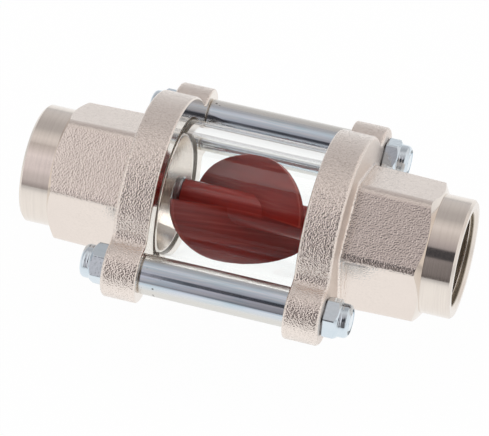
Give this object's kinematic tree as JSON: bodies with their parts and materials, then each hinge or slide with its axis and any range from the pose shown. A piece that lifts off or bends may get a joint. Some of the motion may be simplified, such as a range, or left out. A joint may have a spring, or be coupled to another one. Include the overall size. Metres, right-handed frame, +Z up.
{
  "type": "impeller flow indicator",
  "caption": "In-line flow indicator with threaded hexagon end fittings, a clamped clear glass tube and a red impeller that turns in the flow.",
  "frame": {"origin": "middle of the sight glass on the flow axis, which is the middle of the whole part", "axes": "+X along the flow axis out of the right socket, +Y through the rear ear, +Z up as it lies in the picture"},
  "size_m": [0.123, 0.0768, 0.0552],
  "materials": {
    "nickel_plated_brass": "nickel plated, blasted forging with turned ends",
    "zinc_plated_steel": "bright zinc plated",
    "stainless_steel": "polished",
    "clear_glass": "clear",
    "black_rubber": "moulded",
    "red_plastic": "glossy moulding",
    "white_nylon": "moulded"
  },
  "bodies": {
    "housing": {"left_fitting": "nickel_plated_brass", "right_fitting": "nickel_plated_brass", "sight_glass": "clear_glass", "left_glass_seal": "black_rubber", "right_glass_seal": "black_rubber", "front_sleeve": "zinc_plated_steel", "rear_sleeve": "zinc_plated_steel", "front_stud": "zinc_plated_steel", "rear_stud": "zinc_plated_steel", "left_front_nut": "zinc_plated_steel", "left_rear_nut": "zinc_plated_steel", "right_front_nut": "zinc_plated_steel", "right_rear_nut": "zinc_plated_steel", "left_front_nut_insert": "white_nylon", "left_rear_nut_insert": "white_nylon", "right_front_nut_insert": "white_nylon", "right_rear_nut_insert": "white_nylon", "axle": "stainless_steel", "left_collar": "stainless_steel", "right_collar": "stainless_steel", "left_spider": "nickel_plated_brass", "right_spider": "nickel_plated_brass"},
    "impeller": {"impeller": "red_plastic"}
  },
  "joints": [
    {"name": "impeller_spin", "type": "hinge", "parent": "housing", "child": "impeller", "pos_m": [0, 0, 0], "axis": [1, 0, 0], "continuous": true}
  ]
}
